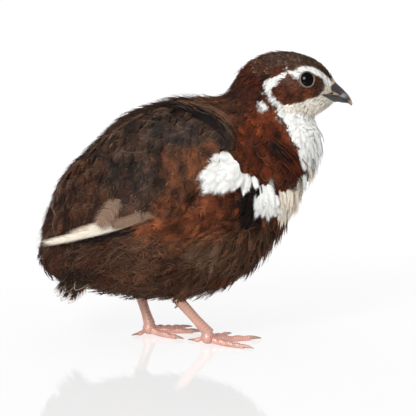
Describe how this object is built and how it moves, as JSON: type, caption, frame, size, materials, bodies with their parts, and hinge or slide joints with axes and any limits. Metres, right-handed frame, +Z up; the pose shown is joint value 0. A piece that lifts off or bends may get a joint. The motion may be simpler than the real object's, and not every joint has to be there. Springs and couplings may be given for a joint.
{
  "type": "quail figure",
  "caption": "Standing coturnix quail, life size, chestnut with white cheek lines, throat and breast patches, in one fixed pose.",
  "frame": {"origin": "on the floor, under the middle of the whole bird's box", "axes": "+X the way the bill points, +Y the bird's left, +Z up"},
  "size_m": [0.1443, 0.0714, 0.1328],
  "materials": {
    "body_feathers": "soft matt feathers",
    "wing_feathers": "matt feathers with a faint sheen",
    "tail_feathers": "matt feathers",
    "leg_skin": "satin scaled skin",
    "bill_horn": "smooth horn",
    "claw_horn": "pale smooth horn",
    "eye": "wet and glossy"
  },
  "bodies": {
    "root": {"bill_lower": "bill_horn", "bill_upper": "bill_horn", "claw_hind_left": "claw_horn", "claw_hind_right": "claw_horn", "claw_inner_left": "claw_horn", "claw_inner_right": "claw_horn", "claw_middle_left": "claw_horn", "claw_middle_right": "claw_horn", "claw_outer_left": "claw_horn", "claw_outer_right": "claw_horn", "eye_left": "eye", "eye_right": "eye", "foot_left": "leg_skin", "foot_right": "leg_skin", "head": "body_feathers", "neck": "body_feathers", "shank_left": "leg_skin", "shank_right": "leg_skin", "tail": "tail_feathers", "thigh_left": "body_feathers", "thigh_right": "body_feathers", "toe_hind_left": "leg_skin", "toe_hind_right": "leg_skin", "toe_inner_left": "leg_skin", "toe_inner_right": "leg_skin", "toe_middle_left": "leg_skin", "toe_middle_right": "leg_skin", "toe_outer_left": "leg_skin", "toe_outer_right": "leg_skin", "torso": "body_feathers", "wing_left": "wing_feathers", "wing_right": "wing_feathers"}
  },
  "joints": []
}
